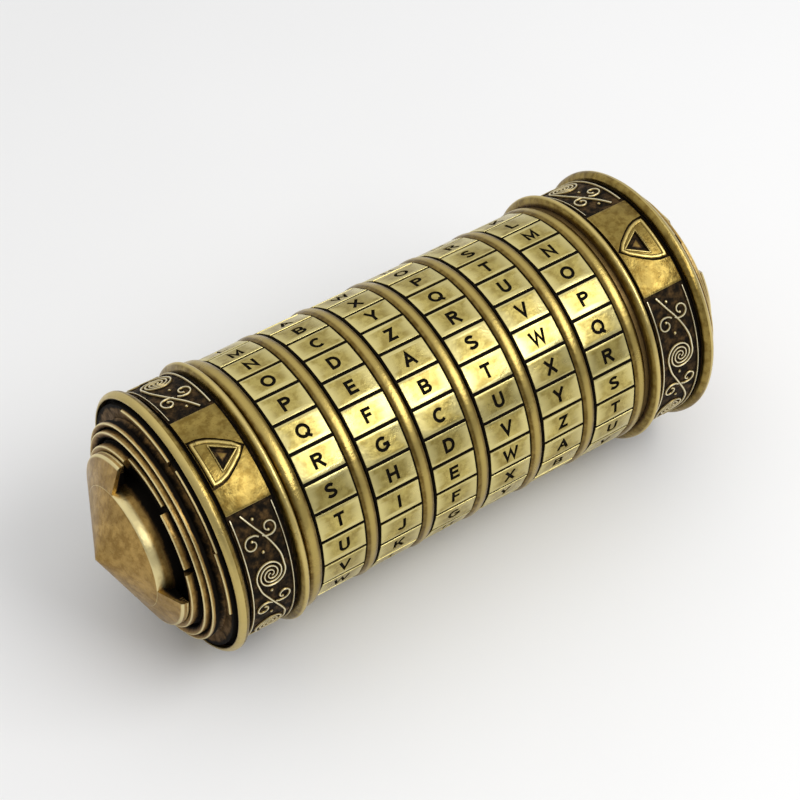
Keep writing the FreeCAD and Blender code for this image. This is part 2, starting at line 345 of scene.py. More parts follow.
def slice_rows(mesh, height, count):
    """Points and faces of the plate, with edges added across it so that it can bend.

    Every face becomes a triangle or a quad, and the mesh itself is deleted.
    """
    bm = bmesh.new()
    bm.from_mesh(mesh)
    for k in range(1, count):
        y = -height / 2 + height * k / count
        bmesh.ops.bisect_plane(bm, geom=bm.verts[:] + bm.edges[:] + bm.faces[:], dist=1e-5,
                               plane_co=(0, y, 0), plane_no=(0, 1, 0))
    bmesh.ops.remove_doubles(bm, verts=bm.verts, dist=1e-4)
    bmesh.ops.triangulate(bm, faces=[f for f in bm.faces if len(f.verts) > 4])
    points = [v.co.copy() for v in bm.verts]
    bm.verts.index_update()
    faces = [[v.index for v in f.verts] for f in bm.faces]
    bm.free()
    bpy.data.meshes.remove(mesh)
    return points, faces


# ---- letters, as strokes on a grid one unit tall -----------------------------------------------------
STROKE = 0.225
MITRE_LIMIT = 0.42


def arc(cx, cy, rx, ry, start, end, steps):
    """Points of an elliptic arc, in degrees."""
    rows = []
    for k in range(steps + 1):
        a = math.radians(start + (end - start) * k / steps)
        rows.append((cx + rx * math.cos(a), cy + ry * math.sin(a)))
    return rows


def letter_strokes():
    """Centre lines of plain upright capitals. A True at a line's end marks a closed one."""
    h = STROKE / 2
    t = 1 - h
    m = 0.5
    bowl = (t - m) / 2
    upper, lower = (t + m) / 2, (m + h) / 2
    round_y = 0.5 - h
    return {
        "A": [[(0.06, -0.02), (0.44, t), (0.82, -0.02)], [(0.2, 0.32), (0.68, 0.32)]],
        "B": [[(h, t), (0.42, t)] + arc(0.42, upper, 0.21, bowl, 90, -90, 8) + [(h, m)],
              [(h, m), (0.44, m)] + arc(0.44, lower, 0.25, bowl, 90, -90, 8) + [(h, h)],
              [(h, 0), (h, 1)]],
        "C": [arc(0.46, m, 0.37, round_y, 48, 312, 22)],
        "D": [[(h, t), (0.36, t)] + arc(0.36, m, 0.35, round_y, 90, -90, 14) + [(h, h)], [(h, 0), (h, 1)]],
        "E": [[(0.7, t), (h, t), (h, h), (0.72, h)], [(h, 0.51), (0.66, 0.51)]],
        "F": [[(0.68, t), (h, t), (h, 0)], [(h, m), (0.6, m)]],
        "G": [arc(0.47, m, 0.38, round_y, 48, 330, 22) + [(0.83, 0.46), (0.5, 0.46)],
              [(0.83, 0.46), (0.83, 0.18)]],
        "H": [[(h, 0), (h, 1)], [(0.72, 0), (0.72, 1)], [(h, 0.51), (0.72, 0.51)]],
        "I": [[(h, 0), (h, 1)]],
        "J": [[(0.52, 1), (0.52, 0.3)] + arc(0.3, 0.3, 0.22, 0.3 - h, 0, -170, 10)],
        "K": [[(h, 0), (h, 1)], [(0.76, 1.01), (0.16, 0.36)], [(0.36, 0.56), (0.79, -0.01)]],
        "L": [[(h, 1), (h, h), (0.66, h)]],
        "M": [[(h, 0), (h, t), (0.47, 0.14), (0.94 - h, t), (0.94 - h, 0)]],
        "N": [[(h, 0), (h, t), (0.74, h), (0.74, 1)]],
        "O": [arc(0.47, m, 0.385, round_y, 0, 350, 26) + [True]],
        "P": [[(h, t), (0.42, t)] + arc(0.42, 0.7, 0.25, t - 0.7, 90, -90, 8) + [(h, 1.4 - t)],
              [(h, 0), (h, 1)]],
        "Q": [arc(0.47, m, 0.385, round_y, 0, 350, 26) + [True], [(0.52, 0.27), (0.9, -0.03)]],
        "R": [[(h, t), (0.44, t)] + arc(0.44, 0.71, 0.24, t - 0.71, 90, -90, 8) + [(h, 1.42 - t)],
              [(h, 0), (h, 1)], [(0.42, 0.48), (0.78, -0.01)]],
        "S": [arc(0.4, 0.71, 0.27, t - 0.71, 25, 250, 12)[:-2] + [(0.32, 0.53), (0.48, 0.475)]
              + arc(0.4, 0.29, 0.3, 0.29 - h, 60, -155, 12)[1:]],
        "T": [[(0.38, 0), (0.38, 1)], [(0, t), (0.76, t)]],
        "U": [[(h, 1), (h, 0.36)] + arc(0.4, 0.36, 0.4 - h, 0.36 - h, 180, 360, 12) + [(0.8 - h, 1)]],
        "V": [[(0.05, 1.02), (0.42, 0.1), (0.79, 1.02)]],
        "W": [[(0.04, 1.02), (0.3, 0.12), (0.57, 0.88), (0.84, 0.12), (1.1, 1.02)]],
        "X": [[(0.05, 1), (0.75, 0)], [(0.75, 1), (0.05, 0)]],
        "Y": [[(0.04, 1.01), (0.4, 0.44), (0.76, 1.01)], [(0.4, 0), (0.4, 0.5)]],
        "Z": [[(0.03, t), (0.6, t), (0.1, h), (0.7, h)]],
    }


def stroke_outlines(line):
    """Outline of a line drawn with a square-ended pen, or two outlines for a closed line."""
    closed = line[-1] is True
    if closed:
        line = line[:-1]
    points = []
    for p in line:
        if not points or (Vector(p) - points[-1]).length > 0.012:
            points.append(Vector(p))
    n = len(points)
    left, right = [], []
    for i, p in enumerate(points):
        if closed:
            before, after = points[i - 1], points[(i + 1) % n]
        else:
            before, after = points[max(i - 1, 0)], points[min(i + 1, n - 1)]
        into = (p - before) if (p - before).length > 1e-9 else (after - p)
        out = (after - p) if (after - p).length > 1e-9 else into
        into, out = into.normalized(), out.normalized()
        n_in, n_out = Vector((-into.y, into.x)), Vector((-out.y, out.x))
        mitre = n_in + n_out
        mitre = mitre.normalized() if mitre.length > 1e-6 else n_in
        reach = STROKE / 2 / max(MITRE_LIMIT, mitre.dot(n_in))
        left.append(p + mitre * reach)
        right.append(p - mitre * reach)
    if closed:
        return [[tuple(p) for p in left], [tuple(p) for p in right]]
    return [[tuple(p) for p in left + list(reversed(right))]]


def letter_cell(letter, lines, width, height, thickness, size):
    """Points and faces of a flat cell with the letter cut through it."""
    cell = plate(width, height, thickness, CELL_CHAMFER)
    flat = [p for line in lines for p in line if p is not True]
    low = min(p[0] for p in flat) - STROKE * 0.3
    high = max(p[0] for p in flat) + STROKE * 0.3
    middle = (low + high) / 2

    def placed(line):
        """The line's outlines at their size, centred on the cell."""
        return [[((x - middle) * size, (y - 0.5) * size) for x, y in outline]
                for outline in stroke_outlines(line)]

    islands = []
    for line in lines:
        outlines = placed(line)
        if len(outlines) == 2:
            outer, inner = sorted(outlines, key=lambda o: -abs(signed_area(o)))
            cell = cut_out(cell, [outer])
            islands.append(inner)
        else:
            cell = cut_out(cell, outlines)
    points, faces = slice_rows(cell, height, CELL_ROWS)
    for island in islands:
        mesh = prism(island, 0.0, thickness)
        if letter == "Q":
            mesh = cut_out(mesh, placed(lines[1]))
        more, more_faces = slice_rows(mesh, height, CELL_ROWS)
        start = len(points)
        points += more
        faces += [[start + i for i in f] for f in more_faces]
    return points, faces


# ---- letter rings ------------------------------------------------------------------------------------
CELL_PITCH = 360.0 / len(LETTERS)
CELL_LEFT = 0.3
CELL_RIGHT_GAP = 0.36
CELL_LINE = 0.68                 # width of the dark line between two cells
CELL_CHAMFER = 0.07
CELL_WIDTH = RING_LENGTH - BEAD_WIDTH - CELL_RIGHT_GAP - CELL_LEFT
CELL_HEIGHT = math.radians(CELL_PITCH) * RING_RADIUS - CELL_LINE
CELL_THICKNESS = RING_RADIUS - FLOOR_RADIUS
CELL_FLATNESS = 0.72             # 0 follows the ring's curve, 1 is quite flat
CELL_TOUCH = 0.46                # share of the pitch at which a flat cell still has the ring's radius
TILT_ALONG = 0.006               # greatest slope of a cell along the axis and round it
TILT_ROUND = 0.010
LETTER_HEIGHT = 2.9
cells = {letter: letter_cell(letter, lines, CELL_WIDTH, CELL_HEIGHT, CELL_THICKNESS, LETTER_HEIGHT)
         for letter, lines in letter_strokes().items()}


def bent_cell(shape, letter, x_centre, angle, rng):
    """One cell bent on to the ring, nearly flat, with its own slight tilt and rubbed edges."""
    points, faces = cells[letter]
    tilt_u = rng.uniform(-TILT_ALONG, TILT_ALONG)
    tilt_v = rng.uniform(-TILT_ROUND, TILT_ROUND)
    placed, relief = [], []
    for p in points:
        turn = math.degrees(p.y / RING_RADIUS)
        facet = 1 / math.cos(math.radians(turn)) * math.cos(math.radians(CELL_PITCH * CELL_TOUCH))
        top_share = p.z / CELL_THICKNESS
        height = FLOOR_RADIUS + p.z
        height *= 1 + CELL_FLATNESS * top_share * (facet - 1)
        height += top_share * (tilt_u * p.x + tilt_v * p.y)
        placed.append(wrap(x_centre + p.x, angle + turn, height))
        edge = max(abs(p.x) * 2 / CELL_WIDTH, abs(p.y) * 2 / CELL_HEIGHT)
        # dark foot, rubbed edge and clean face
        relief.append(0.0 if top_share < 0.3 else (1.0 if edge > 0.965 else 0.8))
    shape.add(placed, relief, faces)


def ring_outline(left):
    """Closed outline of a letter ring's base: floor under the cells, then the bead."""
    right = left + RING_LENGTH
    band_right = right - BEAD_WIDTH
    rows = [(left, RING_BORE, 0.0), (left, FLOOR_RADIUS - 0.1, 0.0), (left + 0.1, FLOOR_RADIUS, 0.0),
            (band_right - 0.15, FLOOR_RADIUS, 0.0)]
    rows += half_round(band_right - 0.02, right, FLOOR_RADIUS, BEAD_CREST)
    rows.append((right, RING_BORE, 0.0))
    return rows


def letter_ring(index):
    """One turning ring: base and bead in the bead's brass, with all the letter cells on it."""
    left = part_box("letter_ring_%d" % (index + 1))[0].x / MM
    rng = random.Random(100 + index)
    shape = Shape()
    merge(shape, turn_outline(ring_outline(left), RING_SEGMENTS, wobble=0.03), slot=1)
    x_centre = left + CELL_LEFT + CELL_WIDTH / 2
    first = LETTERS.index(FRONT_LETTER[index])
    for k in range(len(LETTERS)):
        angle = READ_ANGLE + RING_PHASE[index] - CELL_PITCH * k
        bent_cell(shape, LETTERS[(first + k) % len(LETTERS)], x_centre, angle, rng)
    name = "letter_ring_%d" % (index + 1)
    piece = make_piece(name + "_skin", shape, [cell_brass, bead_brass], "ring_%d" % (index + 1), sharp=28.0)
    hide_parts(name)


# ---- materials ---------------------------------------------------------------------------------------
PATINA = (0.006, 0.0045, 0.003)  # colour that stays in the recesses
PATINA_METALLIC = 0.1
PATINA_ROUGHNESS = 0.75


def brass(name, bright, worn, rough, mottling, grain, patina_at=(0.12, 0.62), tarnish=(0.13, 0.075, 0.028)):
    """Worn brass with dark patina in its recesses.

    bright is the clean metal, worn the rubbed crest and tarnish the brown between metal and patina. patina_at
    gives the relief values where the patina begins to give way and where it is gone.
    """
    material = bpy.data.materials.new(name)
    material.use_nodes = True
    nodes, links = material.node_tree.nodes, material.node_tree.links
    shader = nodes["Principled BSDF"]
    shader.inputs["Specular IOR Level"].default_value = 0.06

    def node(kind, **settings):
        """New node with some of its properties set."""
        made = nodes.new(kind)
        for key, value in settings.items():
            setattr(made, key, value)
        return made

    def mix(factor, a, b):
        """Blend of two colours, each of them a fixed colour or an output."""
        made = node("ShaderNodeMix", data_type="RGBA")
        for socket, value in ((made.inputs["Factor"], factor), (made.inputs["A"], a), (made.inputs["B"], b)):
            if hasattr(value, "is_output"):
                links.new(value, socket)
            else:
                socket.default_value = (*value, 1.0)
        return made.outputs["Result"]

    def remap(value, low, high, out_low, out_high):
        """Smooth step of a value from one range to another."""
        made = node("ShaderNodeMapRange", interpolation_type="SMOOTHSTEP")
        links.new(value, made.inputs["Value"])
        made.inputs["From Min"].default_value = low
        made.inputs["From Max"].default_value = high
        made.inputs["To Min"].default_value = out_low
        made.inputs["To Max"].default_value = out_high
        return made.outputs["Result"]

    def noise(scale, detail, roughness):
        """Noise that is fixed to the piece."""
        made = node("ShaderNodeTexNoise")
        made.inputs["Scale"].default_value = scale
        made.inputs["Detail"].default_value = detail
        made.inputs["Roughness"].default_value = roughness
        links.new(coordinates.outputs["Object"], made.inputs["Vector"])
        return made.outputs["Fac"]

    def uneven(height, strength, distance, normal=None):
        """Normal of a slightly uneven surface, on top of an earlier one if that is given."""
        made = node("ShaderNodeBump")
        made.inputs["Strength"].default_value = strength
        made.inputs["Distance"].default_value = distance
        links.new(height, made.inputs["Height"])
        if normal is not None:
            links.new(normal, made.inputs["Normal"])
        return made.outputs["Normal"]

    coordinates = node("ShaderNodeTexCoord")
    relief = node("ShaderNodeAttribute", attribute_name="relief").outputs["Fac"]
    blotches = noise(190.0, 4.0, 0.6)
    clouds = noise(620.0, 4.0, 0.62)
    fine = noise(1500.0, 3.0, 0.6)
    specks = noise(3600.0, 2.0, 0.5)

    # where the metal is clean: high places, with a ragged limit
    ragged = node("ShaderNodeMath", operation="MULTIPLY_ADD")
    links.new(clouds, ragged.inputs[0])
    ragged.inputs[1].default_value = 0.5
    links.new(relief, ragged.inputs[2])
    clean = remap(ragged.outputs["Value"], patina_at[0] + 0.25, patina_at[1] + 0.25, 0.0, 1.0)
    # on the end ribs, wing-layer ends and boss wall the crest colour is also a painted highlight, and low
    # relief there is also painted shade
    crest = remap(relief, 0.86, 1.0, 0.0, 1.0)

    # clean metal with blotches, brown clouds and dark specks, paler on the rubbed crests
    dull = [c * 0.7 for c in bright]
    clouded = [c * share for c, share in zip(bright, (0.46, 0.4, 0.3))]
    specked = [c * 0.35 for c in bright]
    tone = mix(remap(blotches, 0.35, 0.65, 0.0, mottling), bright, dull)
    tone = mix(remap(clouds, 0.38, 0.66, 0.0, mottling), tone, clouded)
    tone = mix(remap(specks, 0.62, 0.75, 0.0, mottling), tone, specked)
    tone = mix(crest, tone, worn)

    # patina, then tarnish, then metal, as the place gets cleaner
    half_clean = remap(clean, 0.0, 0.55, 0.0, 1.0)
    full_clean = remap(clean, 0.45, 1.0, 0.0, 1.0)
    colour = mix(full_clean, mix(half_clean, PATINA, tarnish), tone)
    links.new(colour, shader.inputs["Base Color"])
    links.new(remap(clean, 0.0, 0.6, PATINA_METALLIC, 1.0), shader.inputs["Metallic"])

    metal_roughness = remap(blotches, 0.3, 0.7, rough - 0.05, rough + 0.1)
    roughness = node("ShaderNodeMix", data_type="FLOAT")
    links.new(clean, roughness.inputs["Factor"])
    roughness.inputs["A"].default_value = PATINA_ROUGHNESS
    links.new(metal_roughness, roughness.inputs["B"])
    links.new(roughness.outputs["Result"], shader.inputs["Roughness"])

    normal = uneven(fine, grain, 0.0001)
    normal = uneven(blotches, grain * 0.8, 0.0004, normal)
    normal = uneven(clouds, grain, 0.0002, normal)
    links.new(normal, shader.inputs["Normal"])
    return material


def screw_steel():
    """Plain turned steel for the hidden screws and rivets."""
    material = bpy.data.materials.new("screw_steel_turned")
    material.use_nodes = True
    nodes, links = material.node_tree.nodes, material.node_tree.links
    shader = nodes["Principled BSDF"]
    shader.inputs["Metallic"].default_value = 1.0
    coordinates = nodes.new("ShaderNodeTexCoord")
    streaks = nodes.new("ShaderNodeTexNoise")
    streaks.inputs["Scale"].default_value = 900.0
    links.new(coordinates.outputs["Object"], streaks.inputs["Vector"])
    ramp = nodes.new("ShaderNodeValToRGB")
    ramp.color_ramp.elements[0].color = (0.32, 0.31, 0.3, 1)
    ramp.color_ramp.elements[1].color = (0.6, 0.59, 0.57, 1)
    links.new(streaks.outputs["Fac"], ramp.inputs["Fac"])
    links.new(ramp.outputs["Color"], shader.inputs["Base Color"])
    spread = nodes.new("ShaderNodeMapRange")
    spread.inputs["To Min"].default_value = 0.25
    spread.inputs["To Max"].default_value = 0.45
    links.new(streaks.outputs["Fac"], spread.inputs["Value"])
    links.new(spread.outputs["Result"], shader.inputs["Roughness"])
    return material


# clean metal, rubbed crest, then roughness, strength of the stains and grain of the surface
cell_brass = brass("cell_brass", (0.53, 0.43, 0.135), (0.66, 0.57, 0.24), 0.3, 0.6, 0.25)
bead_brass = brass("bead_brass", (0.26, 0.178, 0.048), (0.44, 0.33, 0.1), 0.3, 0.85, 0.38)
cap_brass = brass("cap_brass", (0.34, 0.243, 0.064), (0.6, 0.47, 0.17), 0.31, 0.8, 0.45)
carved_brass = brass("carved_brass", (0.4, 0.31, 0.12), (0.88, 0.8, 0.55), 0.34, 0.5, 0.3,
                     patina_at=(0.25, 0.8))
# the end pieces' pale rubbed colour is worn metal and also a painted highlight on the rib edges and
# wing-layer ends
end_brass = brass("end_brass", (0.46, 0.295, 0.09), (0.76, 0.64, 0.32), 0.36, 0.7, 0.4,
                  tarnish=(0.17, 0.095, 0.03))
# the CAD pieces have no relief values, which counts as 0, so these two turn to metal at lower ones
joint_brass = brass("joint_brass", (0.3, 0.21, 0.08), (0.4, 0.3, 0.1), 0.4, 0.7, 0.3,
                    patina_at=(-0.6, 0.3))
inner_brass = brass("inner_brass_plain", (0.5, 0.4, 0.17), (0.55, 0.45, 0.2), 0.38, 0.4, 0.15,
                    patina_at=(-1.0, -0.5))
steel = screw_steel()


# ---- caps: made for the left-hand end, and turned end for end for the right --------------------------
ARC = math.radians(1.0) * BAND_RADIUS   # millimetres of arc in one degree on the band
CARVING_FOOT = PANEL_FLOOR - 0.05
CARVED = 1                       # material slot of the carving


def on_band(u, v, edge_angle, radius):
    """Point on the left band: u from the rim towards the rings, v round the axis from edge_angle."""
    return wrap(-BAND_END + u, edge_angle + v / ARC, radius)


def smooth_line(points):
    """Catmull-Rom line through (u, v, width) points."""
    per_span = 6
    rows = []
    padded = [points[0]] + list(points) + [points[-1]]
    for i in range(1, len(padded) - 2):
        p0, p1, p2, p3 = [Vector(p) for p in padded[i - 1:i + 3]]
        for k in range(per_span):
            t = k / per_span
            rows.append(0.5 * ((2 * p1) + (p2 - p0) * t + (2 * p0 - 5 * p1 + 4 * p2 - p3) * t ** 2
                               + (3 * p1 - p0 - 3 * p2 + p3) * t ** 3))
    rows.append(Vector(points[-1]))
    return rows


def ridge(shape, line, edge_angle, height, base=CARVING_FOOT, slot=0, turned=False):
    """Half-round raised line that follows (u, v, half width) points on the band.

    turned lays it out from the panel's other end, with the panel turned by half in its own plane.
    """
    section = [(-1.0, 0.0), (-0.8, 0.62), (-0.32, 0.97), (0.32, 0.97), (0.8, 0.62), (1.0, 0.0)]
    count = len(section)
    points, relief, faces = [], [], []
    for i, row in enumerate(line):
        before, after = line[max(i - 1, 0)], line[min(i + 1, len(line) - 1)]
        along = Vector((after[0] - before[0], after[1] - before[1])).normalized()
        across = Vector((-along.y, along.x))
        for side, lift in section:
            u = row[0] + across.x * side * row[2]
            v = row[1] + across.y * side * row[2]
            if turned:
                u, v = BAND_WIDTH - u, -v
            points.append(on_band(u, v, edge_angle, base + height * lift))
            relief.append(lift)
    for i in range(len(line) - 1):
        a, b = i * count, (i + 1) * count
        for j in range(count):
            k = (j + 1) % count
            faces.append([a + j, a + k, b + k, b + j])
    faces.append(list(range(count)))
    faces.append([(len(line) - 1) * count + j for j in reversed(range(count))])
    shape.add(points, relief, faces, slot)


def dome(shape, u, v, radius, edge_angle, height, turned):
    """Small raised dot."""
    rings = [(1.0, 0.0), (0.85, 0.55), (0.5, 0.88)]
    sides = 10
    points, relief, faces = [], [], []
    for share, lift in rings:
        for k in range(sides):
            a = TAU * k / sides
            pu, pv = u + radius * share * math.cos(a), v + radius * share * math.sin(a)
            if turned:
                pu, pv = BAND_WIDTH - pu, -pv
            points.append(on_band(pu, pv, edge_angle, CARVING_FOOT + height * lift))
            relief.append(lift)
    pu, pv = (BAND_WIDTH - u, -v) if turned else (u, v)
    points.append(on_band(pu, pv, edge_angle, CARVING_FOOT + height))
    relief.append(1.0)
    last = (len(rings) - 1) * sides
    for r in range(0, last, sides):
        for k in range(sides):
            j = (k + 1) % sides
            faces.append([r + k, r + j, r + sides + j, r + sides + k])
    for k in range(sides):
        faces.append([last + k, last + (k + 1) % sides, last + sides])
    faces.append(list(reversed(range(sides))))
    shape.add(points, relief, faces, CARVED)


SCROLL_COUNT = 3
SCROLL_RADIUS = 3.1
SCROLL_EYE = 0.25                # radius at which a scroll's line ends
SCROLL_TURNS = 1.75
SCROLL_PITCH = 35.4 * ARC        # from one scroll's centre to the next
FIRST_SCROLL = 31.0 * ARC
ARM_IN = 18                      # angles at which a stem runs into a scroll and leaves it
ARM_OUT = 198
HOOK_RADIUS = 1.62
HOOK_EYE = 0.55
HOOK_HEIGHT = 0.43
HOOK_DOT_RADIUS = 0.4
HOOK_DOT_HEIGHT = 0.44
STEM = 0.31                      # half the width of a stem
STEM_HEIGHT = 0.45
DOT_RADIUS = 0.42
DOT_HEIGHT = 0.38
RAILS = ((0.42, 0.26), (BAND_WIDTH - 0.42, 0.17))    # place across the band and half the width
RAIL_HEIGHT = 0.44


def scroll_arm(v_centre, start_angle):
    """One arm of a scroll, from its outside to its middle."""
    rows = []
    steps = 44
    for k in range(steps + 1):
        t = k / steps
        a = math.radians(start_angle) - TAU * SCROLL_TURNS * t
        r = SCROLL_RADIUS * (1 - t) + SCROLL_EYE * t
        u, v = BAND_WIDTH / 2 + r * math.cos(a), v_centre + r * math.sin(a)
        rows.append(Vector((u, v, STEM * (1 - 0.35 * t))))
    return rows


def stem_points(v, places):
    """Points of a stem, from (share of the band's width, degrees past v) pairs."""
    return [Vector((share * BAND_WIDTH, v - degrees * ARC, STEM)) for share, degrees in places]


def hook(shape, u_centre, v_centre, start_angle, edge_angle, turned):
    """Small curl that leaves a stem and ends in a dot."""
    rows = []
    steps = 26
    for k in range(steps + 1):
        t = k / steps
        a = math.radians(start_angle + 400 * t)
        r = HOOK_RADIUS + (HOOK_EYE - HOOK_RADIUS) * t ** 1.3
        if k < 3:
            r += 0.1 * (3 - k)     # flared where it leaves the stem
        rows.append(Vector((u_centre + r * math.cos(a), v_centre + r * math.sin(a), STEM - 0.05 * t)))
    ridge(shape, rows, edge_angle, HOOK_HEIGHT, turned=turned, slot=CARVED)
    dome(shape, rows[-1].x, rows[-1].y, HOOK_DOT_RADIUS, edge_angle, HOOK_DOT_HEIGHT, turned)


def carved_panel(shape, edge_angle, turned):
    """Scrolls, stems, curls and dots of one long panel. Going round the panel, v falls below zero."""
    v = -FIRST_SCROLL
    entry = stem_points(0.0, ((0.26, 1.2), (0.41, 7.0), (0.556, 12.0), (0.69, 17.5), (0.79, 23.5)))
    arm = scroll_arm(v, ARM_IN)
    line = smooth_line(entry + [arm[0]])[:-1] + arm
    ridge(shape, line, edge_angle, STEM_HEIGHT, turned=turned, slot=CARVED)
    for k in range(SCROLL_COUNT):
        out = list(reversed(scroll_arm(v, ARM_OUT)))
        link = stem_points(v, ((0.26, 7.6), (0.41, 13.4), (0.54, 18.2), (0.68, 23.6)))
        if k < SCROLL_COUNT - 1:
            link += stem_points(v, [(0.78, 28.6)])
            arm = scroll_arm(v - SCROLL_PITCH, ARM_IN)
            line = out + smooth_line([out[-1]] + link + [arm[0]])[1:-1] + arm
        else:
            link += stem_points(v, [(0.74, 29.2)])
            line = out + smooth_line([out[-1]] + link)[1:]
        ridge(shape, line, edge_angle, STEM_HEIGHT, turned=turned, slot=CARVED)
        v -= SCROLL_PITCH
    for k in range(SCROLL_COUNT + 1):
        shift = k * SCROLL_PITCH
        hook(shape, 0.715 * BAND_WIDTH, -10.3 * ARC - shift, -150, edge_angle, turned)
        hook(shape, 0.285 * BAND_WIDTH, -14.4 * ARC - shift, 30, edge_angle, turned)
        dome(shape, 0.47 * BAND_WIDTH, -4.6 * ARC - shift, DOT_RADIUS, edge_angle, DOT_HEIGHT, turned)
        dome(shape, 0.46 * BAND_WIDTH, -19.6 * ARC - shift, DOT_RADIUS, edge_angle, DOT_HEIGHT, turned)
    sweep = CARVED_SWEEP * ARC
    steps = 90
    for u, half in RAILS:
        rail = [Vector((u, -0.4 - (sweep - 0.8) * k / steps, half)) for k in range(steps + 1)]
        ridge(shape, rail, edge_angle, RAIL_HEIGHT, turned=turned, slot=CARVED)


def shield_outline(grow):
    """The pointer's shield, its tip towards the rings. grow moves the sides outwards."""
    side = [(0.1, 5.1), (2.2, 4.95), (3.7, 4.45), (5.3, 3.5), (7.4, 2.0)]
    apex = (9.42, 0.0)
    upper = [(u, v + grow) for u, v in side]
    lower = [(u, -v) for u, v in reversed(upper)]
    return upper + [(apex[0] + grow * 1.2, 0.0)] + lower


def triangle_middle(shape, triangle, centre_angle):
    """Slightly swollen and rubbed middle of the triangle's floor."""
    middle_u = sum(u for u, v in triangle) / 3
    low, high = PANEL_FLOOR - 0.03, PANEL_FLOOR + 0.12
    share = 0.62
    corners = [(middle_u + (u - middle_u) * share, v * share) for u, v in triangle]
    points = [on_band(u, v, centre_angle, low) for u, v in corners]
    points += [on_band(u * 0.35 + middle_u * 0.65, v * 0.35, centre_angle, high) for u, v in corners]
    faces = [[2, 1, 0], [3, 4, 5]]
    faces += [[a, (a + 1) % 3, (a + 1) % 3 + 3, a + 3] for a in range(3)]
    shape.add(points, [0.0] * 3 + [0.45] * 3, faces)


PANEL_THICKNESS = PANEL_DEPTH + 0.1     # a little more than shows, so that it is rooted in the ring
PANEL_BASE = BAND_RADIUS - PANEL_THICKNESS
PANEL_CHAMFER = 0.12
SHIELD_SPAN = 9.0                # stretch of the shield, along v, that gets rows to bend at
BORDER_HEIGHT = 0.2


def smooth_panel(shape, centre_angle, pointer):
    """Plain raised panel, with a hole for the shield if it carries the pointer."""
    width = BAND_WIDTH - 0.1
    height = PLAIN_SWEEP * ARC - 0.9
    mesh = plate(width, height, PANEL_THICKNESS, PANEL_CHAMFER)
    if pointer:
        mesh = cut_out(mesh, [[(u - BAND_WIDTH / 2, v) for u, v in shield_outline(0.0)]])
    points, faces = slice_rows(mesh, height, PANEL_ROWS)
    placed = [on_band(p.x + BAND_WIDTH / 2, p.y, centre_angle, PANEL_BASE + p.z) for p in points]
    # dark foot, rubbed chamfer and clean face
    relief = [0.05 if p.z < PANEL_THICKNESS * 0.5 else (1.0 if p.z < PANEL_THICKNESS - 0.005 else 0.82)
              for p in points]
    shape.add(placed, relief, faces)


def pointer_shield(shape, centre_angle):
    """Shield with a bordered triangle cut into it, inside the hole of its panel."""
    body = shield_outline(-0.55)
    body[0] = (0.5, body[0][1])
    body[-1] = (0.5, body[-1][1])
    triangle = [(3.3, 2.8), (3.3, -2.8), (7.8, 0.0)]
    mesh = cut_out(prism(body, 0.0, PANEL_THICKNESS), [triangle])
    points, faces = slice_rows(mesh, SHIELD_SPAN, SHIELD_ROWS)
    shape.add([on_band(p.x, p.y, centre_angle, PANEL_BASE + p.z) for p in points],
              [0.2 if p.z < PANEL_THICKNESS * 0.5 else 0.8 for p in points], faces)
    triangle_middle(shape, triangle, centre_angle)
    border = [Vector((u, v, 0.46)) for u, v in shield_outline(-0.9)]
    border[0].x = border[-1].x = 0.8
    border += border[:2]
    inner = [Vector((u, v, 0.22)) for u, v in triangle + triangle[:2]]
    for line in (border, inner):
        dense = []                 # points close enough together to bend with the band
        for a, b in zip(line, line[1:]):
            count = max(1, round((b - a).length / 0.5))
            dense += [a.lerp(b, k / count) for k in range(count)]
        ridge(shape, dense, centre_angle, BORDER_HEIGHT, base=BAND_RADIUS - 0.02)


def band_outline():
    """Closed outline of the left cap's ring."""
    rows = [(-DISC_SEAT, CAP_BORE, 0, 0.0), (-DISC_SEAT, LIP_BORE, 0, 0.0), (-RIM_END, LIP_BORE, 0.12, 0.8),
            (-RIM_END, RIM_RADIUS - 0.7, 0.35, 0.95), (-RIM_END + 0.7, RIM_RADIUS, 0.45, 0.97),
            (-RIM_START - 0.6, RIM_RADIUS, 0.45, 0.85), (-RIM_START, RIM_RADIUS - 0.8, 0.3, 0.7),
            (-RIM_START, GROOVE_RADIUS, 0, 0.0), (-BAND_END, GROOVE_RADIUS, 0, 0.0),
            (-BAND_END, PANEL_FLOOR, 0, 0.23), (-BAND_START, PANEL_FLOOR, 0, 0.23),
            (-BAND_START, GROOVE_RADIUS, 0, 0.0)]
    outline = rounded(rows)
    outline += half_round(-INNER_BEAD_END, -CAP_FACE, GROOVE_RADIUS, BEAD_CREST_CAP)
    outline.append((-CAP_FACE, CAP_BORE, 0.6))
    return outline


def cap_band(side):
    """Cast outer ring of one cap: beads, two smooth panels and two carved ones."""
    shape = Shape()
    merge(shape, turn_outline(band_outline(), BAND_SEGMENTS, wobble=0.04))
    smooth_panel(shape, READ_ANGLE, True)
    pointer_shield(shape, READ_ANGLE)
    smooth_panel(shape, READ_ANGLE + 180, False)
    carved_panel(shape, READ_ANGLE - PLAIN_SWEEP / 2, False)
    carved_panel(shape, READ_ANGLE + PLAIN_SWEEP / 2, True)
    finish_cap(side, "cap_band", shape, [cap_brass, carved_brass])


def finish_cap(side, name, shape, materials, sharp=40.0):
    """Piece from a shape made for the left cap, turned end for end if it is the right cap's."""
    if side == "right":
        shape.turn(END_FLIP)
    node = side + "_" + name
    shape.turn(Matrix.Rotation(math.radians(-PIECE_TURN.get(node, 0.0)), 4, "X"))
    piece = make_piece(node + "_skin", shape, materials, "vault" if side == "left" else "barrel", sharp)
    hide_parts(node)


# ---- end disc and boss: drawn for the right-hand end, then turned to the left one --------------------
FLOOR_A = BOSS_SEAT
FLOOR_B = 57.3
FLOOR_C = 55.6
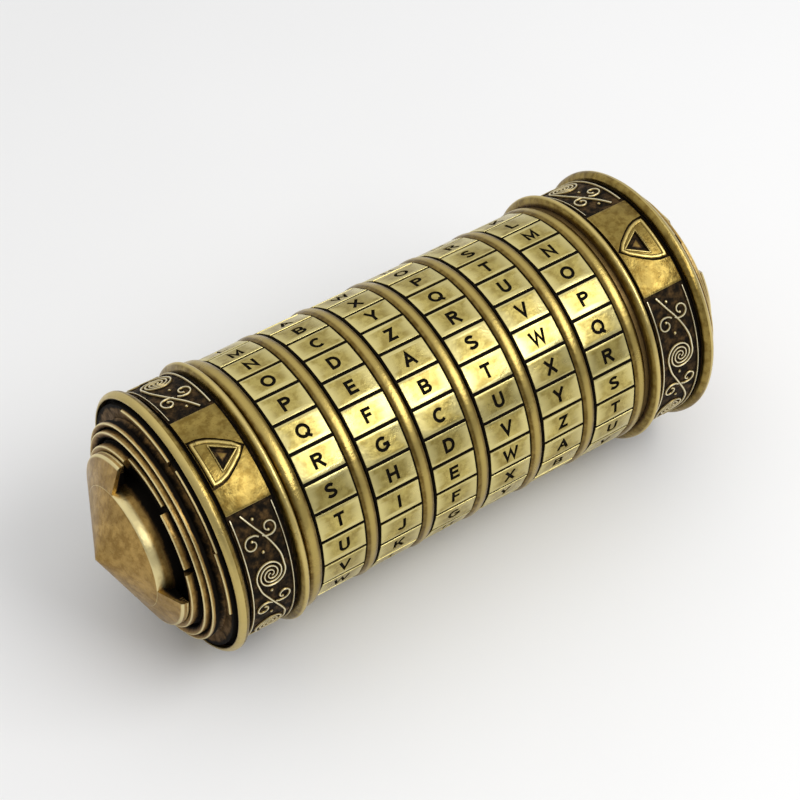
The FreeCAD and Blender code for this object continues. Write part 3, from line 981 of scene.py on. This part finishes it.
# inner radius, outer radius, top and floor of each rib, from the middle outwards
RIB_A = (16.4, 18.6, 60.6, FLOOR_A)
RIB_B = (19.4, 20.8, 59.3, FLOOR_B)
RIB_C = (21.0, 22.2, 58.4, FLOOR_B)
RIB_D = (22.8, 24.9, 56.4, FLOOR_C)
# stretches of the two broken ribs: shift of the inner wall, lowering of the top, start angle and sweep
STRETCHES_A = ((0.0, 0.95, 37, 37), (0.0, 0.0, 78, 34), (0.0, 0.0, 116, 101))
STRETCHES_D = ((0.4, 0.3, 66, 38), (0.0, 0.0, 104, 32), (0.0, 0.0, 201, 40))


def rib_outline(inner, outer, top, floor):
    """Closed outline of a rib that leans inwards from its worn outer edge."""
    lean = min(0.45, (top - floor) * 0.4)
    drop = (top - floor) * 0.85
    # relief rises across the top to 1.0 at the outer edge and falls down the outer wall: the worn outer edge
    # is also a painted highlight, and the darker inner side and wall foot are painted shade over patina
    rows = [(floor - 0.3, inner, 0.0), (top - lean - 0.2, inner, 0.1), (top - lean, inner + 0.2, 0.2)]
    for share in (0.35, 0.65, 0.85):
        radius = inner + 0.2 + (outer - inner - 0.5) * share
        rows.append((top - lean * (1 - share), radius, 0.2 + 0.35 * share))
    rows += [(top, outer - 0.22, 1.0), (top - 0.06, outer - 0.06, 1.0), (top - 0.25, outer, 0.9),
             (top - drop * 0.6, outer, 0.35), (top - drop, outer, 0.0), (floor - 0.3, outer, 0.0)]
    return rows


def finish_end(side, name, shape):
    """Piece of an end face, from a shape drawn for the right-hand end."""
    shape.turn(END_FLIP)
    finish_cap(side, name, shape, [end_brass], sharp=45.0)


def end_disc(side):
    """One end disc: its stepped core, two broken ribs and two whole ones."""
    shape = Shape()
    core = [(DISC_BACK, DISC_BORE, 0.0), (FLOOR_A, DISC_BORE, 0.0), (FLOOR_A, 18.8, 0.05),
            (FLOOR_B, 18.8, 0.02), (FLOOR_B, 20.85, 0.02), (FLOOR_C, 22.0, 0.35), (FLOOR_C, 23.8, 0.3),
            (FLOOR_C, DISC_RADIUS, 0.05), (DISC_SEAT, DISC_RADIUS, 0.05), (DISC_SEAT, CAP_BORE, 0.0),
            (DISC_BACK, CAP_BORE, 0.0)]
    merge(shape, turn_outline(core, END_SEGMENTS))
    for turn in (0, 180):
        for (inner, outer, top, floor), stretches in ((RIB_A, STRETCHES_A), (RIB_D, STRETCHES_D)):
            for shift, lowering, start, sweep in stretches:
                outline = rib_outline(inner + shift, outer, top - lowering, floor)
                merge(shape, turn_outline(outline, END_SEGMENTS, turn + start, sweep))
    for rib in (RIB_B, RIB_C):
        merge(shape, turn_outline(rib_outline(*rib), RIB_SEGMENTS, wobble=0.04))
    finish_end(side, "end_disc", shape)


PLATE_INNER = 10.6               # where a wing's plate begins, inside the cone
PLATE_WORN = 16.0                # how far in from the edge its underside is rubbed


def wing_surface(radius):
    """Height of a wing's outer face at a distance from the axis."""
    slope = (BOSS_RIM - WING_RIM) / (WING_RADIUS - BOSS_RADIUS)
    return BOSS_RIM - slope * max(0.0, radius - BOSS_RADIUS)


def wing(shape, start):
    """Plate that runs on from the cone, on layers whose ends stand back step by step."""
    top = ((PLATE_INNER, 0.6), (BOSS_RADIUS, 0.6), (14.5, 0.7), (15.8, 0.75), (16.8, 0.8),
           (WING_RADIUS - 0.2, 1.0))
    plate_rows = [(wing_surface(radius), radius, relief) for radius, relief in top]
    plate_rows += [(WING_RIM - 0.25, WING_RADIUS, 1.0), (WING_RIM - WING_PLATE, WING_RADIUS, 0.5),
                   (wing_surface(PLATE_WORN) - WING_PLATE, PLATE_WORN, 0.1),
                   (wing_surface(PLATE_INNER) - WING_PLATE, PLATE_INNER, 0.0)]
    merge(shape, turn_outline(plate_rows, END_SEGMENTS, start, WING_SWEEP))
    underside = RIB_A[2]
    for inner, outer, setback in WING_LAYERS:
        # painted light: the outer layers' outer walls get full relief as a painted highlight in the pale
        # rubbed colour, and the innermost layer gets none as painted shade, since it lies in the others'
        # shade
        outer_painted_light = 0.0 if inner < 15 else 1.0     # the innermost layer is in the others' shade
        under_plate = wing_surface(outer) - WING_PLATE
        rows = [(underside, inner, 0.0), (wing_surface(inner) - WING_PLATE + 0.1, inner, 0.0),
                (under_plate + 0.1, outer - 0.25, 0.0), (under_plate + 0.1, outer - 0.05, outer_painted_light),
                (under_plate - 0.05, outer, outer_painted_light), (underside, outer, outer_painted_light)]
        merge(shape, turn_outline(rows, END_SEGMENTS, start + setback, WING_SWEEP - 2 * setback))


def boss(side):
    """Low cone with a rubbed rim and the two wings. Its side wall is painted pale near the rim as a painted
    highlight, and darkens towards its foot as painted shade on top of patina.
    """
    shape = Shape()
    cone = [(BOSS_SEAT, 0.0, 0.0), (BOSS_TIP, 0.0, 0.9), (BOSS_TIP - 0.12, 0.3, 0.9)]
    steps = 8
    for k in range(1, steps):
        share = k / steps
        cone.append((BOSS_TIP + (BOSS_RIM - BOSS_TIP) * share, BOSS_RADIUS * share, 0.72))
    # the side wall's relief falls from 1.0 at the rim to 0.1 at the foot: a painted highlight at the top,
    # fading into painted shade and patina at the foot
    cone += [(BOSS_RIM + 0.12, BOSS_RADIUS - 0.35, 0.8), (BOSS_RIM - 0.02, BOSS_RADIUS - 0.08, 1.0),
             (BOSS_RIM - 0.25, BOSS_RADIUS, 1.0), (62.9, BOSS_RADIUS, 0.98), (61.7, BOSS_RADIUS, 0.8),
             (60.9, BOSS_RADIUS, 0.35), (60.2, BOSS_RADIUS, 0.1), (BOSS_SEAT, BOSS_RADIUS, 0.1)]
    merge(shape, turn_outline(cone, BOSS_SEGMENTS))
    for start in WING_STARTS:
        wing(shape, start)
    finish_end(side, "boss", shape)


def collar():
    """Softly domed collar between the vault's cap and ring 1."""
    low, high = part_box("retaining_collar")
    left, right = low.x / MM, high.x / MM
    outline = [(left, COLLAR_BORE, 0.6)]
    outline += half_round(left, right, COLLAR_EDGE, COLLAR_CREST, low_relief=0.3)
    outline.append((right, COLLAR_BORE, 0.6))
    shape = turn_outline(outline, RING_SEGMENTS, wobble=0.03)
    piece = make_piece("retaining_collar_skin", shape, [bead_brass], "barrel")
    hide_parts("retaining_collar")


for ring_index in range(RING_COUNT):
    letter_ring(ring_index)
collar()
for end in ("left", "right"):
    cap_band(end)
    end_disc(end)
    boss(end)

# every CAD node that still shows gets its own finish
for name, obj in frame["nodes"].items():
    finish_material = inner_brass
    if "screw" in name or "rivet" in name:
        finish_material = steel
    elif name == "thrust_washer":
        finish_material = joint_brass
    for slot_index in range(len(obj.material_slots)):
        obj.material_slots[slot_index].material = finish_material


# ---- floor, light and camera -------------------------------------------------------------------------
KEY_DIRECTION = (0.4, -0.545, 0.745)
KEY_DISTANCE = 0.6
KEY_WIDTH = 0.5
KEY_HEIGHT = 0.32
KEY_WATTS = 1.95

ROOM_RISE = (0.0, 0.4, 0.75)     # the way in which the room grows brighter
ROOM_DARK = 0.4
ROOM_BRIGHT = 1.12

CAMERA_AZIMUTH = -34.6
CAMERA_ELEVATION = 46.61
CAMERA_PLACE = (-172.38, -246.66, 318.87)
CAMERA_SENSOR = 36.0
CAMERA_LENS = 101.04


def stage_floor():
    """Large pale floor just under the object."""
    height = cad_box[0].z
    reach = 3.0
    corners = [(-reach, -reach, height), (reach, -reach, height), (reach, reach, height),
               (-reach, reach, height)]
    mesh = bpy.data.meshes.new("floor")
    mesh.from_pydata(corners, [], [(0, 1, 2, 3)])
    material = bpy.data.materials.new("floor_paper")
    material.use_nodes = True
    nodes, links = material.node_tree.nodes, material.node_tree.links
    shader = nodes["Principled BSDF"]
    shader.inputs["Roughness"].default_value = 0.95
    shader.inputs["Specular IOR Level"].default_value = 0.1
    grain = nodes.new("ShaderNodeTexNoise")
    grain.inputs["Scale"].default_value = 60.0
    tint = nodes.new("ShaderNodeValToRGB")
    tint.color_ramp.elements[0].color = (0.84, 0.84, 0.84, 1)
    tint.color_ramp.elements[1].color = (0.88, 0.88, 0.88, 1)
    links.new(grain.outputs["Fac"], tint.inputs["Fac"])
    links.new(tint.outputs["Color"], shader.inputs["Base Color"])
    mesh.materials.append(material)
    floor = bpy.data.objects.new("floor", mesh)
    bpy.context.scene.collection.objects.link(floor)


def key_light():
    """Rectangular soft lamp in front of the object and above it, on its right."""
    data = bpy.data.lights.new("key", "AREA")
    data.shape = "RECTANGLE"
    data.size = KEY_WIDTH
    data.size_y = KEY_HEIGHT
    data.energy = KEY_WATTS
    lamp = bpy.data.objects.new("key", data)
    away = Vector(KEY_DIRECTION).normalized()
    lamp.location = away * KEY_DISTANCE
    lamp.rotation_euler = away.to_track_quat("Z", "Y").to_euler()
    bpy.context.scene.collection.objects.link(lamp)


def studio_world():
    """Pale room: brightest overhead and behind the object, greyer in front and below."""
    world = bpy.data.worlds.new("studio")
    world.use_nodes = True
    nodes, links = world.node_tree.nodes, world.node_tree.links
    background = nodes["Background"]
    background.inputs["Strength"].default_value = 1.0
    coordinates = nodes.new("ShaderNodeTexCoord")
    height = nodes.new("ShaderNodeVectorMath")
    height.operation = "DOT_PRODUCT"
    height.inputs[1].default_value = ROOM_RISE
    links.new(coordinates.outputs["Generated"], height.inputs[0])
    ramp = nodes.new("ShaderNodeValToRGB")
    ramp.color_ramp.elements[0].position = 0.0
    ramp.color_ramp.elements[0].color = (ROOM_DARK, ROOM_DARK, ROOM_DARK, 1)
    ramp.color_ramp.elements[1].position = 1.0
    ramp.color_ramp.elements[1].color = (ROOM_BRIGHT, ROOM_BRIGHT, ROOM_BRIGHT, 1)
    links.new(height.outputs["Value"], ramp.inputs["Fac"])
    links.new(ramp.outputs["Color"], background.inputs["Color"])
    bpy.context.scene.world = world


def camera():
    """Long lens, looking down on the object from its left front."""
    azimuth, elevation = math.radians(CAMERA_AZIMUTH), math.radians(CAMERA_ELEVATION)
    back = Vector((math.sin(azimuth) * math.cos(elevation), -math.cos(azimuth) * math.cos(elevation),
                   math.sin(elevation)))
    right = Vector((math.cos(azimuth), math.sin(azimuth), 0))
    up = back.cross(right)
    data = bpy.data.cameras.new("camera")
    data.sensor_width = CAMERA_SENSOR
    data.lens = CAMERA_LENS
    data.clip_start = 0.01
    eye = bpy.data.objects.new("camera", data)
    place = Matrix((right, up, back)).transposed().to_4x4()
    place.translation = Vector(CAMERA_PLACE) * MM
    eye.matrix_world = place
    bpy.context.scene.collection.objects.link(eye)
    bpy.context.scene.camera = eye


stage_floor()
key_light()
studio_world()
bpy.context.scene.view_settings.view_transform = "Standard"
camera()
